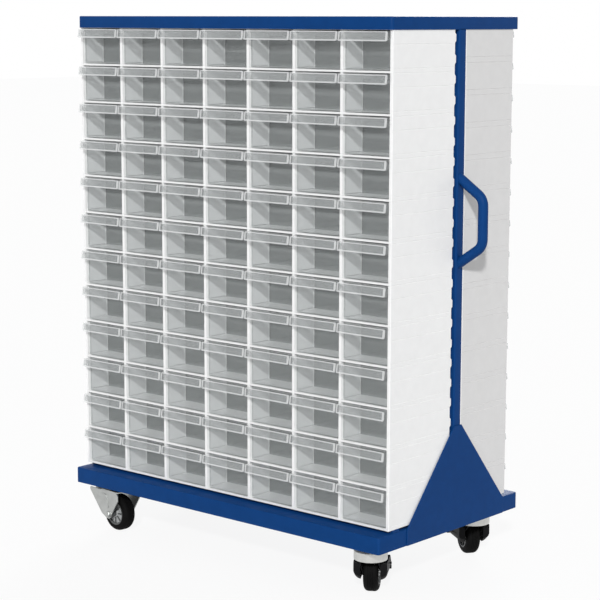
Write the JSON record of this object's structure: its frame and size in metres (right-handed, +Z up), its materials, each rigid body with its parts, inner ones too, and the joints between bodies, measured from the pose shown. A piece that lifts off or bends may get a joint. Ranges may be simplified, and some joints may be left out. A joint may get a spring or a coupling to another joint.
{
  "type": "drawer trolley",
  "caption": "Double-sided wheeled drawer trolley: painted steel frame with end handles, carrying white housings of clear slide-out small-parts drawers front and back.",
  "frame": {"origin": "on the floor under the middle of the base", "axes": "+X along the drawer fronts, towards the end with the braked castors; -Y is the side of the twelve rows of large drawers; +Z up"},
  "size_m": [1.2336, 0.585, 1.4095],
  "materials": {
    "blue_paint": "semi-gloss powder coat",
    "zinc_steel": "zinc plated, satin",
    "white_plastic": "satin moulded",
    "clear_plastic": "clear moulded",
    "black_plastic": "satin moulded",
    "grey_plastic": "satin moulded",
    "black_rubber": "matt"
  },
  "bodies": {
    "frame": {"base_tray": "blue_paint", "top_tray": "blue_paint", "post_right": "blue_paint", "post_left": "blue_paint", "gusset_right": "blue_paint", "gusset_left": "blue_paint", "handle_right": "blue_paint", "handle_left": "blue_paint", "tie_rails": "blue_paint", "base_bolsters": "blue_paint", "block_bearers": "blue_paint", "castor_plates": "zinc_steel", "castor_bolts": "zinc_steel", "castor_kingpins": "zinc_steel", "front_shelves": "white_plastic", "front_partitions": "white_plastic", "front_panel": "white_plastic", "back_shelves": "white_plastic", "back_partitions": "white_plastic", "back_panel": "white_plastic", "block_screws": "zinc_steel"},
    "castor_swivel_front_left": {"castor_fork_front_left": "zinc_steel", "castor_axle_front_left": "zinc_steel"},
    "castor_wheel_front_left": {"castor_hub_front_left": "grey_plastic", "castor_tyre_front_left": "black_rubber"},
    "castor_swivel_front_right": {"castor_fork_front_right": "zinc_steel", "castor_axle_front_right": "zinc_steel"},
    "castor_wheel_front_right": {"castor_hub_front_right": "grey_plastic", "castor_tyre_front_right": "black_rubber"},
    "brake_pedal_front_right": {"castor_brake_front_right": "black_plastic"},
    "castor_swivel_back_right": {"castor_fork_back_right": "zinc_steel", "castor_axle_back_right": "zinc_steel"},
    "castor_wheel_back_right": {"castor_hub_back_right": "grey_plastic", "castor_tyre_back_right": "black_rubber"},
    "brake_pedal_back_right": {"castor_brake_back_right": "black_plastic"},
    "castor_swivel_back_left": {"castor_fork_back_left": "zinc_steel", "castor_axle_back_left": "zinc_steel"},
    "castor_wheel_back_left": {"castor_hub_back_left": "grey_plastic", "castor_tyre_back_left": "black_rubber"},
    "front_drawer_1_body": {"front_drawer_1": "clear_plastic"},
    "front_drawer_2_body": {"front_drawer_2": "clear_plastic"},
    "front_drawer_3_body": {"front_drawer_3": "clear_plastic"},
    "front_drawer_4_body": {"front_drawer_4": "clear_plastic"},
    "front_drawer_5_body": {"front_drawer_5": "clear_plastic"},
    "front_drawer_6_body": {"front_drawer_6": "clear_plastic"},
    "front_drawer_7_body": {"front_drawer_7": "clear_plastic"},
    "front_drawers_row_01_body": {"front_drawers_row_01": "clear_plastic"},
    "front_drawers_row_02_body": {"front_drawers_row_02": "clear_plastic"},
    "front_drawers_row_03_body": {"front_drawers_row_03": "clear_plastic"},
    "front_drawers_row_04_body": {"front_drawers_row_04": "clear_plastic"},
    "front_drawers_row_05_body": {"front_drawers_row_05": "clear_plastic"},
    "front_drawers_row_07_body": {"front_drawers_row_07": "clear_plastic"},
    "front_drawers_row_08_body": {"front_drawers_row_08": "clear_plastic"},
    "front_drawers_row_09_body": {"front_drawers_row_09": "clear_plastic"},
    "front_drawers_row_10_body": {"front_drawers_row_10": "clear_plastic"},
    "front_drawers_row_11_body": {"front_drawers_row_11": "clear_plastic"},
    "front_drawers_row_12_body": {"front_drawers_row_12": "clear_plastic"},
    "back_drawers_band_1_body": {"back_drawers_band_1": "clear_plastic"},
    "back_drawers_band_2_body": {"back_drawers_band_2": "clear_plastic"},
    "back_drawers_band_3_body": {"back_drawers_band_3": "clear_plastic"}
  },
  "joints": [
    {"name": "swivel_front_left", "type": "hinge", "parent": "frame", "child": "castor_swivel_front_left", "pos_m": [-0.46325, -0.232, 0.1], "axis": [0, 0, 1], "continuous": true},
    {"name": "wheel_front_left", "type": "hinge", "parent": "castor_swivel_front_left", "child": "castor_wheel_front_left", "pos_m": [-0.42539, -0.23531, 0.05], "axis": [0.0872, 0.9962, 0], "continuous": true},
    {"name": "swivel_front_right", "type": "hinge", "parent": "frame", "child": "castor_swivel_front_right", "pos_m": [0.46325, -0.232, 0.1], "axis": [0, 0, 1], "continuous": true},
    {"name": "wheel_front_right", "type": "hinge", "parent": "castor_swivel_front_right", "child": "castor_wheel_front_right", "pos_m": [0.44311, -0.19977, 0.05], "axis": [-0.848, -0.5299, 0], "continuous": true},
    {"name": "brake_front_right", "type": "hinge", "parent": "castor_swivel_front_right", "child": "brake_pedal_front_right", "pos_m": [0.44311, -0.19977, 0.05], "axis": [-0.848, -0.5299, 0], "range_deg": [0, 8]},
    {"name": "swivel_back_right", "type": "hinge", "parent": "frame", "child": "castor_swivel_back_right", "pos_m": [0.46325, 0.201, 0.1], "axis": [0, 0, 1], "continuous": true},
    {"name": "wheel_back_right", "type": "hinge", "parent": "castor_swivel_back_right", "child": "castor_wheel_back_right", "pos_m": [0.43212, 0.2228, 0.05], "axis": [-0.5736, -0.8192, 0], "continuous": true},
    {"name": "brake_back_right", "type": "hinge", "parent": "castor_swivel_back_right", "child": "brake_pedal_back_right", "pos_m": [0.43212, 0.2228, 0.05], "axis": [-0.5736, -0.8192, 0], "range_deg": [0, 8]},
    {"name": "swivel_back_left", "type": "hinge", "parent": "frame", "child": "castor_swivel_back_left", "pos_m": [-0.46325, 0.201, 0.1], "axis": [0, 0, 1], "continuous": true},
    {"name": "wheel_back_left", "type": "hinge", "parent": "castor_swivel_back_left", "child": "castor_wheel_back_left", "pos_m": [-0.49769, 0.18494, 0.05], "axis": [0.4226, -0.9063, 0], "continuous": true},
    {"name": "slide_front_drawer_1", "type": "slide", "parent": "frame", "child": "front_drawer_1_body", "axis": [0, -1, 0], "range_m": [0, 0.2]},
    {"name": "slide_front_drawer_2", "type": "slide", "parent": "frame", "child": "front_drawer_2_body", "axis": [0, -1, 0], "range_m": [0, 0.2]},
    {"name": "slide_front_drawer_3", "type": "slide", "parent": "frame", "child": "front_drawer_3_body", "axis": [0, -1, 0], "range_m": [0, 0.2]},
    {"name": "slide_front_drawer_4", "type": "slide", "parent": "frame", "child": "front_drawer_4_body", "axis": [0, -1, 0], "range_m": [0, 0.2]},
    {"name": "slide_front_drawer_5", "type": "slide", "parent": "frame", "child": "front_drawer_5_body", "axis": [0, -1, 0], "range_m": [0, 0.2]},
    {"name": "slide_front_drawer_6", "type": "slide", "parent": "frame", "child": "front_drawer_6_body", "axis": [0, -1, 0], "range_m": [0, 0.2]},
    {"name": "slide_front_drawer_7", "type": "slide", "parent": "frame", "child": "front_drawer_7_body", "axis": [0, -1, 0], "range_m": [0, 0.2]},
    {"name": "slide_front_drawers_row_01", "type": "slide", "parent": "frame", "child": "front_drawers_row_01_body", "axis": [0, -1, 0], "range_m": [0, 0.2]},
    {"name": "slide_front_drawers_row_02", "type": "slide", "parent": "frame", "child": "front_drawers_row_02_body", "axis": [0, -1, 0], "range_m": [0, 0.2]},
    {"name": "slide_front_drawers_row_03", "type": "slide", "parent": "frame", "child": "front_drawers_row_03_body", "axis": [0, -1, 0], "range_m": [0, 0.2]},
    {"name": "slide_front_drawers_row_04", "type": "slide", "parent": "frame", "child": "front_drawers_row_04_body", "axis": [0, -1, 0], "range_m": [0, 0.2]},
    {"name": "slide_front_drawers_row_05", "type": "slide", "parent": "frame", "child": "front_drawers_row_05_body", "axis": [0, -1, 0], "range_m": [0, 0.2]},
    {"name": "slide_front_drawers_row_07", "type": "slide", "parent": "frame", "child": "front_drawers_row_07_body", "axis": [0, -1, 0], "range_m": [0, 0.2]},
    {"name": "slide_front_drawers_row_08", "type": "slide", "parent": "frame", "child": "front_drawers_row_08_body", "axis": [0, -1, 0], "range_m": [0, 0.2]},
    {"name": "slide_front_drawers_row_09", "type": "slide", "parent": "frame", "child": "front_drawers_row_09_body", "axis": [0, -1, 0], "range_m": [0, 0.2]},
    {"name": "slide_front_drawers_row_10", "type": "slide", "parent": "frame", "child": "front_drawers_row_10_body", "axis": [0, -1, 0], "range_m": [0, 0.2]},
    {"name": "slide_front_drawers_row_11", "type": "slide", "parent": "frame", "child": "front_drawers_row_11_body", "axis": [0, -1, 0], "range_m": [0, 0.2]},
    {"name": "slide_front_drawers_row_12", "type": "slide", "parent": "frame", "child": "front_drawers_row_12_body", "axis": [0, -1, 0], "range_m": [0, 0.2]},
    {"name": "slide_back_drawers_band_1", "type": "slide", "parent": "frame", "child": "back_drawers_band_1_body", "axis": [0, 1, 0], "range_m": [0, 0.16]},
    {"name": "slide_back_drawers_band_2", "type": "slide", "parent": "frame", "child": "back_drawers_band_2_body", "axis": [0, 1, 0], "range_m": [0, 0.16]},
    {"name": "slide_back_drawers_band_3", "type": "slide", "parent": "frame", "child": "back_drawers_band_3_body", "axis": [0, 1, 0], "range_m": [0, 0.16]}
  ]
}
